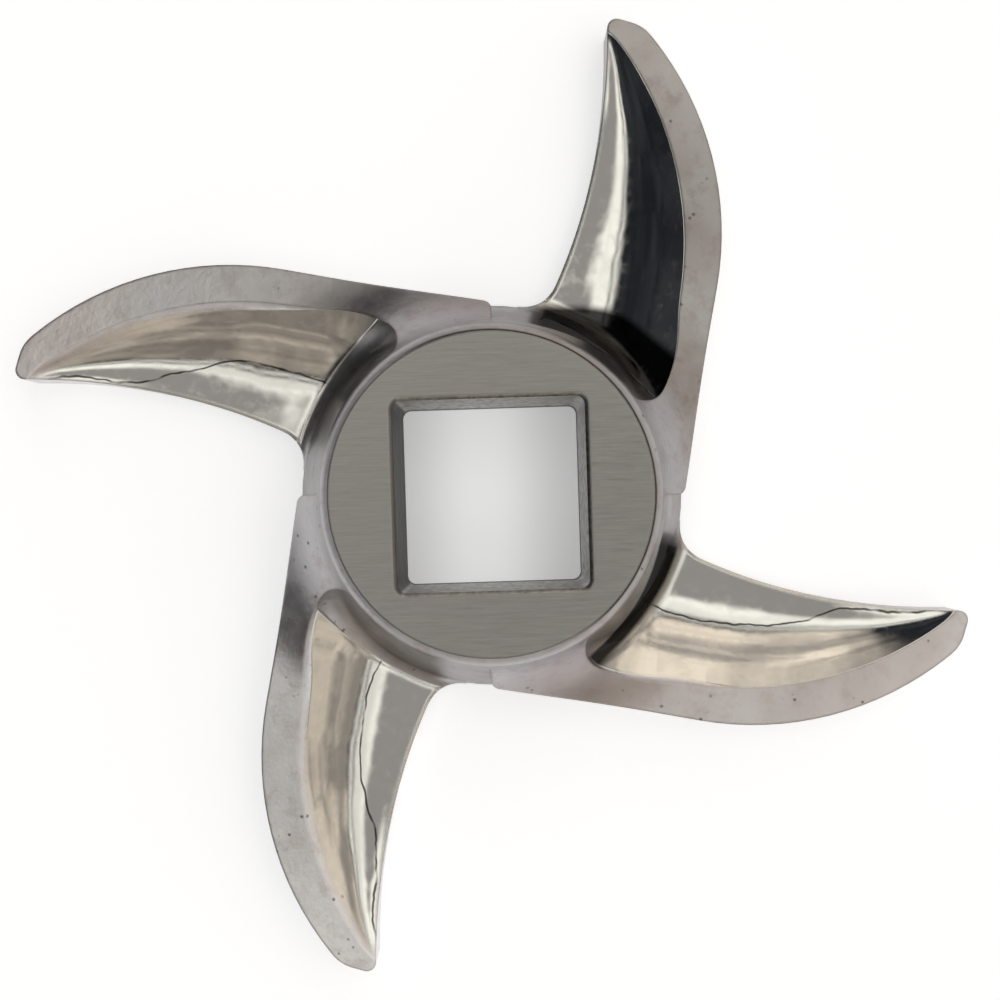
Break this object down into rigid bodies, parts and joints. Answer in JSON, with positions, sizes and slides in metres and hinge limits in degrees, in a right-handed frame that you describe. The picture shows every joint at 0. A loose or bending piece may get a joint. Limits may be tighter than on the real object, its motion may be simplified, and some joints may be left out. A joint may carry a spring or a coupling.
{
  "type": "meat grinder knife",
  "caption": "Cast cross-shaped meat grinder knife with curled, scooped wings, flat ground faces and a square drive hole.",
  "frame": {"origin": "on the shaft axis, in the ground face that runs on the hole plate", "axes": "+Z along the shaft axis from the plate face to the ground back face of the hub; X and Y along the flats of the drive hole"},
  "size_m": [0.0898, 0.0898, 0.017],
  "materials": {
    "stainless_steel": "satin casting, ground flat faces and polished scoops"
  },
  "bodies": {
    "root": {"grinder_knife": "stainless_steel"}
  },
  "joints": []
}
